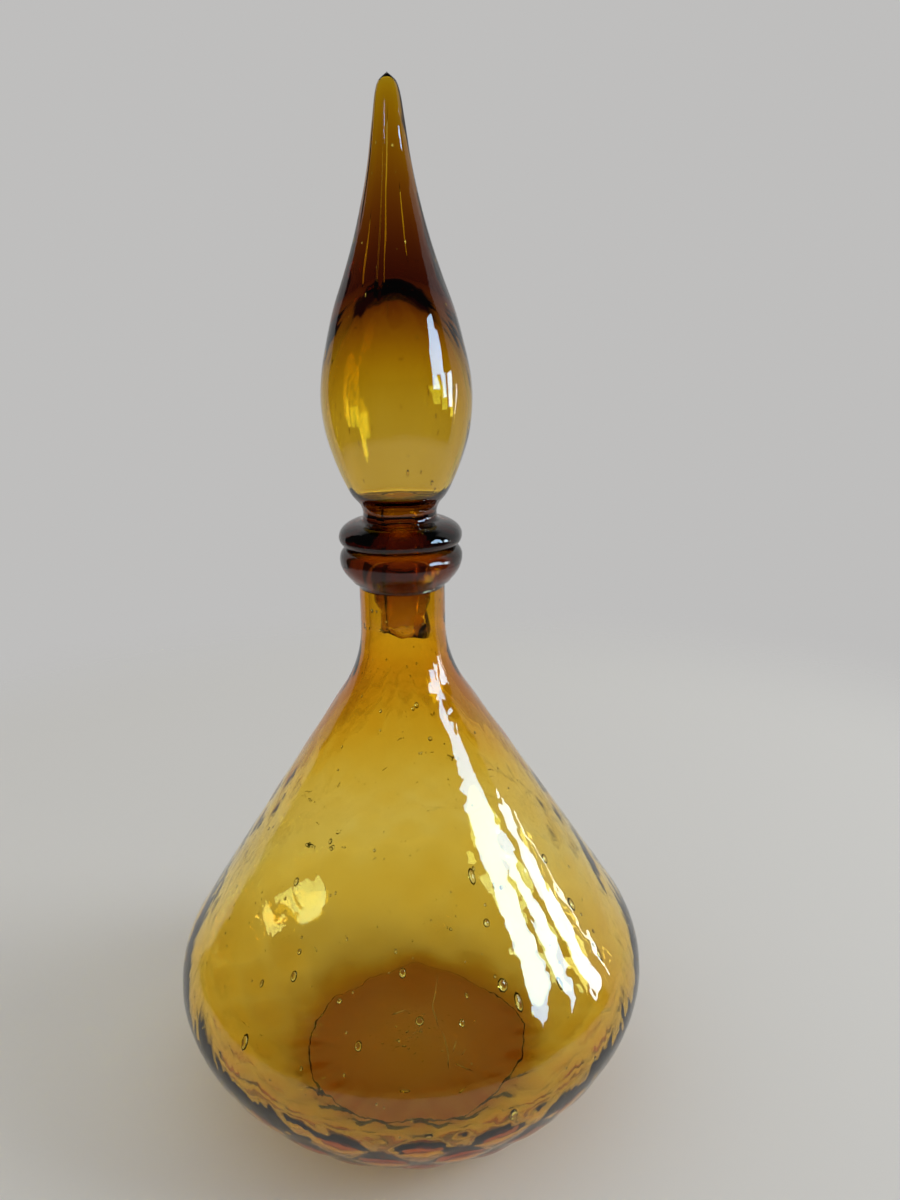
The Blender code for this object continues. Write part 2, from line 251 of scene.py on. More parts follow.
bottle = {
    "bodyRadius": 0.081, "bellyHeight": 0.046, "shoulderArc": 0.031, "shoulderAngle": 33.0,
    "neckFillet": 0.040, "neckRadius": 0.0137, "neckLength": 0.0146, "neckWall": 0.0027,
    "tubeShort": 0.0002,  # the blown tube ends this far below the top of the lip ring
    "mouthRound": 0.0006, "boreRound": 0.0008, "boreRow": 0.004,
    "baseRadius": 0.041, "footWidth": 0.005, "footAngle": 9.0,
    "kickHeight": 0.0016, "kickPull": 0.004,
    "underStart": 0.33, "underEnd": 0.51,  # pulls of the curve from the belly to the foot
    # height and thickness of the wall
    "walls": [(0.000, 0.0025), (0.012, 0.0025), (0.025, 0.0025), (0.038, 0.0021),
              (0.050, 0.0015), (0.065, 0.00105), (0.085, 0.00092), (0.105, 0.00108),
              (0.123, 0.0017), (0.137, 0.0027), (0.150, 0.0034), (0.160, 0.0031),
              (0.166, 0.0028), (0.200, 0.0027)],
    # the pad under the foot: its height, and its edge as steps out and shares of that height
    "padHeight": 0.0010,
    "padEdge": [(0.0004, 1), (0.0001, 0.85), (0, 0.4), (-0.0001, 0.1), (-0.0004, 0)],
    "floorThickness": 0.0059, "filletHeight": 0.0024, "filletWidth": 0.007,
    "filletPulls": (0.7, 0.5, 0.4),  # in and down at the wall, out at the floor
    "sides": 228, "rowGap": 0.0016, "plainGap": 0.003,
    "footRows": 3, "footReach": 0.006,  # closer rows near the foot, and how far out
    "glass": {"tint": (0.97, 0.99, 0.97), "absorbed": (46, 168, 830),
              "drawn": 0.6, "scale": 260, "depth": 0.00010},
}
lip = {
    "radius": 0.0195, "topRound": 0.0034, "topInset": 0.0030, "sink": 0.0005,
    "flare": 0.35,  # of its depth, left at its lower edge
    "sidePull": 0.50, "underPull": (1.7, 0.26),
    "sides": 128, "plainGap": 0.003, "innerRow": 0.001,
    "uneven": 0.012, "unevenScale": Vector((60, 60, 120)),
    "glass": {"tint": (1, 0.9, 0.6), "absorbed": (110, 185, 800),
              "drawn": 1, "scale": 260, "depth": 0.00005},
}
mouthHeight, lipStart = lipBox[1].z, lipBox[0].z
tubeTop = mouthHeight - bottle["tubeShort"]
neckStart = lipStart - bottle["neckLength"]
wallMarks = throughPoints(bottle["walls"], 12)


def wallAt(height):
    return valueAt(wallMarks, height)


def bodyCurve():
    # from the foot of the neck down to the edge of the base
    b = bottle
    points = arcPoints((b["neckRadius"] + b["neckFillet"], neckStart),
                       (-b["neckFillet"], -b["neckFillet"]), 0, b["shoulderAngle"], 24)
    points += arcPoints((b["bodyRadius"] - b["shoulderArc"], b["bellyHeight"]),
                        (b["shoulderArc"], b["shoulderArc"]), b["shoulderAngle"], 0, 24)
    under = (b["bodyRadius"] - b["baseRadius"]) * b["underEnd"]
    footPull = (b["baseRadius"] + under,
                b["padHeight"] + under * math.tan(math.radians(b["footAngle"])))
    points += bezierPoints((b["bodyRadius"], b["bellyHeight"]),
                           (b["bodyRadius"], b["bellyHeight"] * (1 - b["underStart"])),
                           footPull,
                           (b["baseRadius"] + b["padEdge"][0][0], b["padHeight"]), 60)[1:]
    return points


def lipCurve():
    # the trailed ring, from its flat top round to the neck
    neck = bottle["neckRadius"]
    widest = mouthHeight - lip["topRound"]
    drop = widest - lipStart
    low = (lip["radius"] - neck) * lip["flare"]
    points = arcPoints((lip["radius"] - lip["topInset"], widest),
                       (lip["topInset"], lip["topRound"]), 90, 0, 12)
    out, down = lip["underPull"]
    points += bezierPoints((lip["radius"], widest),
                           (lip["radius"], widest - drop * lip["sidePull"]),
                           (neck + low * out, lipStart + drop * down),
                           (neck + low, lipStart), 18)[1:]
    points += bezierPoints((neck + low, lipStart), (neck + low / 2, lipStart),
                           (neck, lipStart - low / 2), (neck, lipStart - low), 6)[1:]
    return points


def bottleOutline():
    # from the middle of the base up the outside, over the mouth and down the inside
    b = bottle
    neck, gap = b["neckRadius"], b["rowGap"]
    body = evenPoints(bodyCurve(), gap)
    nearFoot = [p for p in body
                if p[1] < b["bellyHeight"] and p[0] < b["baseRadius"] + b["footReach"]]
    body = [p for p in body if p not in nearFoot] + evenPoints(nearFoot, gap / b["footRows"])
    lipFoot = lipCurve()[-1]
    outside = [(neck - b["mouthRound"], tubeTop), (neck, tubeTop - b["mouthRound"])]
    outside += evenPoints([outside[-1], lipFoot], b["plainGap"])[1:-1]
    outside += evenPoints([lipFoot, (neck, neckStart)], gap)[:-1] + body
    footEdge = b["baseRadius"] - b["footWidth"]
    foot = [(b["baseRadius"] + out, b["padHeight"] * share) for out, share in b["padEdge"][1:]]
    foot += bezierPoints((footEdge, 0), (footEdge - b["kickPull"], 0),
                         (footEdge / 2, b["kickHeight"]), (0, b["kickHeight"]), 16)
    inside = setIn([(neck, tubeTop), (neck, lipStart + b["boreRow"])]
                   + evenPoints([(neck, lipStart), (neck, neckStart)], gap)[:-1] + body, wallAt)
    bore = neck - b["neckWall"]
    inside = [(bore + b["mouthRound"], tubeTop), (bore, tubeTop - b["boreRound"])] + inside
    floor, fillet = b["floorThickness"], b["filletHeight"]
    inside = [p for p in inside if p[1] > floor + fillet]
    side = inside[-1]
    floorEdge = side[0] - b["filletWidth"]
    inward, down, out = b["filletPulls"]
    inside += bezierPoints(side, (side[0] - fillet * inward, side[1] - fillet * down),
                           (floorEdge + b["filletWidth"] * out, floor),
                           (floorEdge, floor), 10)[1:]
    inside += evenPoints([(floorEdge, floor), (0, floor)], b["plainGap"])[1:]
    return foot[::-1] + outside[::-1] + inside


def lipOutline():
    # the ring sinks a little into the neck, as glass laid on hot does
    ring = lipCurve()
    inner, low = bottle["neckRadius"] - lip["sink"], ring[-1][1]
    ring.append((inner, low))
    ring += evenPoints([(inner, low + lip["innerRow"]), (inner, mouthHeight)], lip["plainGap"])
    return ring + [ring[0]]


# the relief of the ribbed mould: staggered diamonds, faint on the cone and deep under the belly

relief = {
    "around": 20, "height": 0.021,  # diamonds round the bottle, and from one to the next below
    "faint": 0.00006, "patchMean": 0.75, "patchSwing": 1.6, "patchScale": 2.1,
    "deep": 0.00080, "deepBand": 0.025, "deepMean": 0.6, "deepFront": 0.5,
    "quiltPower": 0.75, "quiltMean": 0.45,
    "footGap": 0.001, "footBand": 0.004, "neckBand": 0.03,  # where it fades out
    "wobbleScale": 1.3, "turnWobble": 0.5, "dropWobble": 0.75, "wobbleRise": 20,
    "outerWaves": 0.00010, "innerWaves": 0.00020, "waveScale": (60, 45), "innerShift": 7,
    "tableSteps": 2000,
    # ragged edge of the pad: how far, how near, and its waves as scale, share and shift
    "notch": 0.0021, "notchBand": 0.004, "notchReach": 0.006,
    "notchWaves": [(2.2, 1, 3), (7, 0.5, 0), (22, 0.2, 0)],
}


def upTheOutline():
    # how far along the outline each height lies, and the whole length down to the pad
    body = bodyCurve()
    body.append((bottle["baseRadius"] - 0.02, -0.004))  # a place past the end of the outline
    run, high, steps = runOf(body), body[0][1], relief["tableSteps"]
    table, i = [], len(body) - 2
    for step in range(steps + 1):
        height = high * step / steps
        while i > 0 and body[i][1] < height:
            i -= 1
        part = (body[i][1] - height) / max(body[i][1] - body[i + 1][1], 1e-9)
        table.append(run[i] + (run[i + 1] - run[i]) * part)
    return table, run[-2], high


def pressDiamonds(piece):
    b, r = bottle, relief
    table, total, high = upTheOutline()
    innerFloor = (b["baseRadius"] - b["footWidth"], b["floorThickness"] + 0.001)
    normals = [vertex.normal.copy() for vertex in piece.data.vertices]
    for vertex, normal in zip(piece.data.vertices, normals):
        x, y, height = vertex.co
        radius = math.hypot(x, y)
        if height > high or radius < innerFloor[0] and height < innerFloor[1]:
            continue
        along = table[min(r["tableSteps"], max(0, int(height / high * r["tableSteps"] + 0.5)))]
        outward = normal.x * x + normal.y * y - normal.z * 0.3 * radius > 0
        angle = math.atan2(y, x)
        around = Vector((math.cos(angle), math.sin(angle), height * r["wobbleRise"]))
        wobble = noise.noise(around * r["wobbleScale"])
        turn = r["around"] * angle + wobble * r["turnWobble"]
        drop = math.tau * (total - along) / r["height"] + wobble * r["dropWobble"]
        soft = math.cos(turn) * math.cos(drop)
        quilt = abs(math.sin((turn + drop) / 2) * math.sin((turn - drop) / 2))
        quilt = quilt ** r["quiltPower"] - r["quiltMean"]
        deep = smoothStep((b["bellyHeight"] - height) / r["deepBand"])
        deep *= r["deepMean"] - r["deepFront"] * math.sin(angle)
        if outward:
            deep *= smoothStep((radius - b["baseRadius"] + r["footGap"]) / r["footBand"])
        patchy = noise.noise(around * r["patchScale"] + Vector((5, 0, 0)))
        patchy = max(0, r["patchMean"] + r["patchSwing"] * patchy)
        across, up = r["waveScale"]
        place = Vector((x * across, y * across,
                        height * up + (0 if outward else r["innerShift"])))
        shift = r["faint"] * patchy * soft + deep * r["deep"] * quilt
        shift += (r["outerWaves"] if outward else r["innerWaves"]) * noise.noise(place)
        vertex.co += normal * shift * smoothStep((high - height) / r["neckBand"])


def notchFoot(piece):
    # the flat pad under the foot has a ragged edge
    edge, r = bottle["baseRadius"], relief
    for vertex in piece.data.vertices:
        radius = math.hypot(vertex.co.x, vertex.co.y)
        vertex.co.z = max(vertex.co.z, 0)
        near = edge - bottle["footWidth"] < radius < edge + r["notchReach"]
        if vertex.co.z < r["notchBand"] and near:
            fade = 1 - smoothStep(abs(radius - edge) / r["notchBand"])
            place = vertex.co.xy.normalized()
            ragged = sum(share * noise.noise(Vector((place.x * scale, place.y * scale, shift)))
                         for scale, share, shift in r["notchWaves"])
            vertex.co.xy *= 1 + r["notch"] * ragged * fade / radius


# bubbles of the bottle, with the specks and scratches of its floor

bubbles = {
    "small": {"count": 500, "size": 0.00027, "spread": 0.45, "largest": 0.0009,
              "drawn": (1.0, 1.9), "flat": 0.9, "share": (0.4, 0.6)},
    "wallShare": 0.3,  # the most of the wall that half a bubble takes
    "lowest": 0.006, "top": 0.003, "evenOut": 0.012,
    # larger ones: angle, height, half width, half length
    "large": [
        (-68, 0.1042, 0.0011, 0.0028), (-67, 0.0925, 0.0011, 0.0014),
        (-35, 0.0990, 0.0013, 0.0018), (-34, 0.0849, 0.0014, 0.0025),
        (-34, 0.0704, 0.0014, 0.0038), (-67, 0.0773, 0.0017, 0.0022),
        (-64, 0.0721, 0.0013, 0.0032), (-123, 0.0794, 0.0011, 0.0018),
        (-93, 0.0838, 0.0011, 0.0016), (-133, 0.1005, 0.0010, 0.0015),
        (-103, 0.0677, 0.0011, 0.0016), (-89, 0.0731, 0.0013, 0.0014),
        (-79, 0.0719, 0.0008, 0.0013), (-70, 0.0444, 0.0015, 0.0023),
        (-88, 0.0431, 0.0013, 0.0010), (-131, 0.0602, 0.0013, 0.0027),
        (-109, 0.0770, 0.0008, 0.0008), (-132, 0.0739, 0.0007, 0.0013),
        (-124, 0.1130, 0.0006, 0.0010), (-51, 0.0714, 0.0010, 0.0023),
        (70, 0.1010, 0.0012, 0.0022), (35, 0.0800, 0.0013, 0.0026),
        (120, 0.0900, 0.0011, 0.0018), (155, 0.0700, 0.0014, 0.0030),
        (10, 0.0620, 0.0010, 0.0020),
    ],
    "specks": {"count": 100, "size": 0.00020, "spread": 0.4, "drawn": 1.3,
               "away": 0.011, "below": (0.0006, 0.0018)},
    # scratches, this far under the inner floor: middle, direction, half width, half length
    "scratchBelow": 0.0011,
    "scratches": [
        ((0.0080, 0.0190), 95, 0.00024, 0.0180), ((0.0105, -0.0080), 93, 0.00028, 0.0120),
        ((0.0170, -0.0190), -30, 0.00040, 0.0040), ((0.0140, -0.0060), 70, 0.00026, 0.0045),
        ((0.0185, -0.0100), 60, 0.00024, 0.0030), ((-0.0070, 0.0130), 20, 0.00020, 0.0030),
        ((-0.0050, -0.0270), 10, 0.00080, 0.0026), ((0.0160, -0.0290), 40, 0.00030, 0.0016),
    ],
}


def bottleSeeds():
    # from the neck down to the foot
    random.seed(11)
    small = bubbles["small"]
    start = (bottle["neckRadius"], lipStart - bubbles["top"])
    curve = evenPoints([start] + bodyCurve(), 0.001)
    curve = [p for p in curve if p[1] > bubbles["lowest"]]
    weights = [p[0] + bubbles["evenOut"] for p in curve]
    seeds = []
    for _ in range(small["count"]):
        z = random.choices(curve, weights=weights)[0][1]
        size = min(seedSize(small), small["largest"])
        flat = min(size * small["flat"], wallAt(z) * bubbles["wallShare"])
        long = size * random.uniform(*small["drawn"])
        angle, share = random.uniform(0, math.tau), random.uniform(*small["share"])
        seeds.append((*wallPlace(curve, wallAt(z), z, angle, share), (size, long, flat)))
    for angle, height, wide, long in bubbles["large"]:
        wall = wallAt(height)
        half = (wide, long, wall * bubbles["wallShare"])
        seeds.append((*wallPlace(curve, wall, height, math.radians(angle), 0.5), half))
    return seeds


def floorSeeds():
    random.seed(5)
    specks, floor = bubbles["specks"], bottle["floorThickness"]
    up, seeds = Vector((0, 0, 1)), []
    for _ in range(specks["count"]):
        away, angle = abs(random.gauss(0, specks["away"])), random.uniform(0, math.tau)
        size = seedSize(specks)
        height = floor - random.uniform(*specks["below"])
        place = Vector((away * math.cos(angle), away * math.sin(angle), height))
        seeds.append((place, up, Vector((1, 0, 0)), (size, size * specks["drawn"], size)))
    for (x, y), angle, wide, long in bubbles["scratches"]:
        lengthwise = Vector((math.cos(math.radians(angle)), math.sin(math.radians(angle)), 0))
        place = Vector((x, y, floor - bubbles["scratchBelow"]))
        seeds.append((place, up, lengthwise, (wide, long, wide)))
    return seeds


bottleGlass = turnedPiece("bottle_glass", bottleOutline(), bottle["sides"])
pressDiamonds(bottleGlass)
notchFoot(bottleGlass)
addSeeds(bottleGlass, bottleSeeds() + floorSeeds())
bottleGlass.data.materials.append(amberGlass("bottle_amber", bottle["glass"]))
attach(bottleGlass, "bottle")
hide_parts("bottle_body")
print("bottle blown,", len(bottleGlass.data.polygons), "faces")

lipGlass = turnedPiece("lip_glass", lipOutline(), lip["sides"])
for vertex in lipGlass.data.vertices:
    vertex.co.xy *= 1 + lip["uneven"] * noise.noise(vertex.co * lip["unevenScale"])
lipGlass.data.materials.append(amberGlass("lip_amber", lip["glass"]))
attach(lipGlass, "bottle")
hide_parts("lip_ring")
print("lip laid on,", len(lipGlass.data.polygons), "faces")


# stopper

stopper = {
    "collarRadius": 0.0195, "collarUnderRound": 0.0031, "waistRadius": 0.0119,
    # outline of the flame: share of its height and of its greatest radius
    "flameRadius": 0.0230,
    "flame": [(0.000, 0.517), (0.018, 0.500), (0.040, 0.542), (0.064, 0.650), (0.105, 0.760),
              (0.155, 0.865), (0.215, 0.957), (0.285, 1.000), (0.350, 0.978), (0.420, 0.902),
              (0.500, 0.785), (0.580, 0.625), (0.660, 0.478), (0.740, 0.362), (0.820, 0.268),
              (0.900, 0.200), (0.960, 0.150), (0.985, 0.100), (0.991, 0.045), (0.997, 0.032),
              (1.000, 0.000)],
    "flameWall": 0.0011, "hollowFloor": 0.0066, "hollowHeight": 0.0630, "hollowEdge": 0.0008,
    "domePower": 4.5, "domeSteps": 40,
    "passageRadius": 0.0050, "pegStepLength": 0.0176, "pegWide": 0.0100, "pegTaper": 0.0009,
    "pegStep": 0.0016, "pegSlope": 0.0032, "pegWall": 0.0024,
    "pegShort": 0.0012,  # room under the peg for its ragged end
    "pegFlare": (0.0006, 0.001),  # where it leaves the collar: out and down
    "sides": 256, "rowGap": 0.0012, "floorGap": 0.002,
    "glass": {"tint": (1, 0.85, 0.42), "absorbed": (97, 170, 800),
              "drawn": 0.08, "scale": 600, "depth": 0.000012},
}


def flameCurve():
    start, length = flameBox[0].z, flameBox[1].z - flameBox[0].z
    return [(r * stopper["flameRadius"], start + z * length)
            for z, r in throughPoints(stopper["flame"], 8)]


def stopperOutline():
    # from the point down the outside to the end of the peg, and up through it into the hollow
    s = stopper
    flame = evenPoints(flameCurve(), s["rowGap"])
    flame[-1] = (0, flame[-1][1])
    bottom, top = collarBox[0].z, collarBox[1].z
    widest = bottom + s["collarUnderRound"]
    collar = arcPoints((s["waistRadius"], widest),
                       (s["collarRadius"] - s["waistRadius"], top - widest), 90, 0, 16)
    collar += arcPoints((s["collarRadius"] - s["collarUnderRound"], widest),
                        (s["collarUnderRound"], s["collarUnderRound"]), 0, -90, 10)[1:]
    wide, low, step = s["pegWide"], pegBox[0].z + s["pegShort"], bottom - s["pegStepLength"]
    waist = wide - s["pegTaper"]
    narrow = waist - s["pegStep"]
    inner, passage, slope = narrow - s["pegWall"], s["passageRadius"], s["pegSlope"]
    hollowFloor = flameBox[0].z + s["hollowFloor"]
    flareOut, flareDown = s["pegFlare"]
    peg = []
    for run in ([(wide + flareOut, bottom), (wide, bottom - flareDown), (waist, step)],
                [(narrow, step - slope), (narrow, low)],
                [(inner, low), (inner, step - slope)],
                [(passage, step + slope), (passage, hollowFloor)]):
        peg += evenPoints(run, s["rowGap"])
    radii = [(z, r) for r, z in flame]
    hollow = []
    for i in range(s["domeSteps"] + 1):
        share = math.sin(math.pi / 2 * i / s["domeSteps"])
        height = hollowFloor + s["hollowHeight"] * share
        room = valueAt(radii, height) - s["flameWall"]
        hollow.append((room * math.sqrt(max(0, 1 - share ** s["domePower"])), height))
    hollow[-1] = (0, hollow[-1][1])
    floorEdge = (hollow[0][0] - s["hollowEdge"], hollow[0][1])
    hollow = evenPoints([peg[-1], floorEdge], s["floorGap"])[1:] + hollow[1:]
    return flame[::-1] + collar[1:] + peg + hollow


# what the drawing of the hot glass leaves: slow waves, folds and the broken end of the peg

drawn = {
    "twist": 0.5, "rise": 1.2, "flameWaves": [(0.00016, 2.2), (0.00007, 7)], "pointFade": 0.06,
    "collarWaves": (0.00010, 140), "collarReach": 0.004,
    # folds: angle, half width in degrees, height, and where they start and end up the flame
    "folds": [(-105, 2.2, 0.00040, 0.50, 0.97), (-86, 4.5, 0.00008, 0.18, 0.52),
              (-122, 5.0, 0.00007, 0.12, 0.55), (-62, 4.0, 0.00006, 0.30, 0.80),
              (75, 5.0, 0.00010, 0.40, 0.90), (160, 6.0, 0.00008, 0.15, 0.70)],
    "foldEnds": (0.06, 0.04),
    # the broken end: its waves as count, shift and share, and the lump on one side of it
    "ragged": 0.0010, "raggedRise": 1.2, "raggedWaves": [(2, 1, 0.6), (5, 0, 0.4)],
    "raggedNoise": (0.5, 400), "endShrink": 0.0002,
    "lumpAngle": -34.0, "lumpWidth": 0.45, "lumpHeight": 0.0019,
}


def awayFrom(angle, middle):
    return math.remainder(angle - math.radians(middle), math.tau)


def drawStopper(piece):
    d = drawn
    step = collarBox[0].z - stopper["pegStepLength"]
    pegEnd, flameFoot, flameTop = pegBox[0].z, flameBox[0].z, flameBox[1].z
    normals = [vertex.normal.copy() for vertex in piece.data.vertices]
    for vertex, normal in zip(piece.data.vertices, normals):
        angle, height = math.atan2(vertex.co.y, vertex.co.x), vertex.co.z
        facing = normal.x * vertex.co.x + normal.y * vertex.co.y
        if height < step:
            low = smoothStep((step - height) / (step - pegEnd) * d["raggedRise"])
            share, scale = d["raggedNoise"]
            waves = sum(s * math.sin(n * angle + shift) for n, shift, s in d["raggedWaves"])
            waves += share * noise.noise(vertex.co * scale)
            off = awayFrom(angle, d["lumpAngle"]) / d["lumpWidth"]
            amount = d["lumpHeight"] * low * math.exp(-off ** 4) if facing > 0 else 0
            amount -= d["endShrink"] * low
            vertex.co.z = max(vertex.co.z + d["ragged"] * low * waves, pegEnd + 0.0001)
        elif height < flameFoot + d["collarReach"]:
            share, scale = d["collarWaves"]
            amount = share * noise.noise(vertex.co * scale)
        elif facing < 0 or normal.z < -0.6:
            continue  # the hollow stays smooth
        else:
            up = (height - flameFoot) / (flameTop - flameFoot)
            twist = angle + up * d["twist"]
            place = Vector((math.cos(twist), math.sin(twist), up * d["rise"]))
            amount = sum(share * noise.noise(place * scale) for share, scale in d["flameWaves"])
            startFade, endFade = d["foldEnds"]
            for middle, wide, high, start, end in d["folds"]:
                off = awayFrom(angle, middle) / math.radians(wide)
                ends = smoothStep((up - start) / startFade) * smoothStep((end - up) / endFade)
                amount += high * math.exp(-off * off) * ends
            amount *= smoothStep((1 - up) / d["pointFade"])
        vertex.co += normal * amount


stopperBubbles = {
    "small": {"count": 110, "size": 0.00018, "spread": 0.5, "largest": 0.00045,
              "drawn": (1.5, 6), "flat": 0.8},
    "wallShare": 0.3, "leastWalls": 4,
    # threads of air in the solid point: upper and lower end, half width
    "threads": [((0.0000, -0.0012, 0.3245), (-0.0024, -0.0062, 0.2640), 0.00017),
                ((0.0022, -0.0030, 0.3020), (0.0036, -0.0060, 0.2780), 0.00016),
                ((-0.0040, -0.0010, 0.2950), (-0.0065, -0.0015, 0.2700), 0.00014)],
}


def stopperSeeds():
    random.seed(3)
    small, wall = stopperBubbles["small"], stopper["flameWall"]
    curve = [p for p in evenPoints(flameCurve()[::-1], 0.001)
             if wall * stopperBubbles["leastWalls"] < p[0]]
    seeds = []
    for _ in range(small["count"]):
        z = random.choice(curve)[1]
        size = min(seedSize(small), small["largest"])
        half = (size, size * random.uniform(*small["drawn"]),
                min(size * small["flat"], wall * stopperBubbles["wallShare"]))
        seeds.append((*wallPlace(curve, wall, z, random.uniform(0, math.tau), 0.5), half))
    for top, bottom, wide in stopperBubbles["threads"]:
        top, bottom = Vector(top), Vector(bottom)
        along = bottom - top
        half = (wide, along.length / 2, wide)
        seeds.append(((top + bottom) / 2, Vector((0, -1, 0)), along, half))
    return seeds


stopperGlass = turnedPiece("stopper_glass", stopperOutline(), stopper["sides"])
drawStopper(stopperGlass)
addSeeds(stopperGlass, stopperSeeds())
stopperGlass.data.materials.append(amberGlass("stopper_amber", stopper["glass"]))
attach(stopperGlass, "stopper")
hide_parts("stopper_collar", "stopper_flame", "stopper_peg")
print("stopper drawn,", len(stopperGlass.data.polygons), "faces")


# table, surroundings and lamps

table = {
    "below": 0.00015,  # a hair under the foot, so that the two faces do not share a place
    "radius": 0.60, "fadeStart": 0.36, "fadeMargin": 0.02,
    "colour": (0.78, 0.77, 0.76), "roughness": 0.9, "gloss": 0.1,
    # painted glow: the cloth emits this share and colour to rays that come through the glass,
    # standing in for the light that the glass gathers on it
    "paintedGlowShare": 0.16, "paintedGlowColour": (0.70, 0.68, 0.64),
}
room = {
    "backdrop": (0.52, 0.515, 0.51), "ambient": 0.56, "ambientColour": (1, 0.985, 0.94),
    "dark": 0.03,  # the rest of the room, as mirrored in the glass
    # the bright cloth behind the bottle, in degrees: azimuth from and to, and its top
    "clothLeft": -58, "clothRight": 84, "clothSoft": 1.5, "clothTop": 48, "clothTopSoft": 6,
    "openFrom": 104, "openSoft": 4,  # past this azimuth clear glass shows the backdrop
    "wallsSeen": 3.5,  # more surfaces than this passed, and the glass is seen right through
    "throughGlass": 1.55,  # the room gives the light that the lamps do not send through the glass
}
windowPanes = {
    "distance": 1.0, "aim": 0.11,
    # as the bottle sees them: azimuth from and to, elevation from and to, colour
    "panes": [
        (100, 124, 18.5, 29, (8.5, 12.8, 17.5)),
        (110, 124, 11, 18.5, (8.5, 12.8, 17.5)),
        (98.5, 106.5, 6, 18.5, (8.5, 12.8, 17.5)),
        (104, 116, 29, 34, (8.5, 12.8, 17.5)),
        (86, 94, 0, 17, (11, 14, 17)),
        (79.8, 81.0, -4, 11, (12, 13, 13)),
    ],
}
keyLight = {"azimuth": 100, "elevation": 32, "distance": 2.0, "size": 0.9, "power": 13,
            "colour": (0.90, 0.96, 1)}


def mixedShader(nodes, links, factor, first, second):
    mix = nodes.new("ShaderNodeMixShader")
    links.new(factor, mix.inputs["Fac"])
    links.new(first, mix.inputs[1])
    links.new(second, mix.inputs[2])
    return mix.outputs["Shader"]


def rampNode(nodes, links, value, low, high):
    ramp = nodes.new("ShaderNodeMapRange")
    ramp.interpolation_type = "SMOOTHSTEP"
    ramp.inputs["From Min"].default_value = low
    ramp.inputs["From Max"].default_value = high
    links.new(value, ramp.inputs["Value"])
    return ramp.outputs["Result"]


def mathNode(nodes, links, operation, *values):
    node = nodes.new("ShaderNodeMath")
    node.operation = operation
    for socket, value in zip(node.inputs, values):
        if isinstance(value, (int, float)):
            socket.default_value = value
        else:
            links.new(value, socket)
    return node.outputs["Value"]


def addFloor():
    t = table
    bpy.ops.object.select_all(action="DESELECT")
    bpy.ops.mesh.primitive_circle_add(vertices=96, radius=t["radius"], fill_type="NGON",
                                      location=(0, 0, -t["below"]))
    floor = bpy.context.object
    bpy.ops.object.transform_apply(location=True, rotation=True, scale=True)
    floor.name = "table"
    material = bpy.data.materials.new("table_cloth")
    material.use_nodes = True
    nodes, links = material.node_tree.nodes, material.node_tree.links
    shader = nodes["Principled BSDF"]
    shader.inputs["Base Color"].default_value = (*t["colour"], 1)
    shader.inputs["Roughness"].default_value = t["roughness"]
    shader.inputs["Specular IOR Level"].default_value = t["gloss"]
    coordinates = nodes.new("ShaderNodeTexCoord")
    length = nodes.new("ShaderNodeVectorMath")
    length.operation = "LENGTH"
    links.new(coordinates.outputs["Object"], length.inputs[0])
    fade = rampNode(nodes, links, length.outputs["Value"], t["fadeStart"],
                    t["radius"] - t["fadeMargin"])
    # painted glow on the cloth, emitted only to rays that come through the glass
    path = nodes.new("ShaderNodeLightPath")
    share = mathNode(nodes, links, "MULTIPLY", path.outputs["Is Transmission Ray"],
                     t["paintedGlowShare"])
    paintedGlow = nodes.new("ShaderNodeEmission")
    paintedGlow.inputs["Color"].default_value = (*t["paintedGlowColour"], 1)
    clear = nodes.new("ShaderNodeBsdfTransparent")
    litWithPaintedGlow = mixedShader(nodes, links, share, shader.outputs["BSDF"], paintedGlow.outputs["Emission"])
    seen = mixedShader(nodes, links, fade, litWithPaintedGlow, clear.outputs["BSDF"])
    links.new(seen, nodes["Material Output"].inputs["Surface"])
    floor.data.materials.append(material)


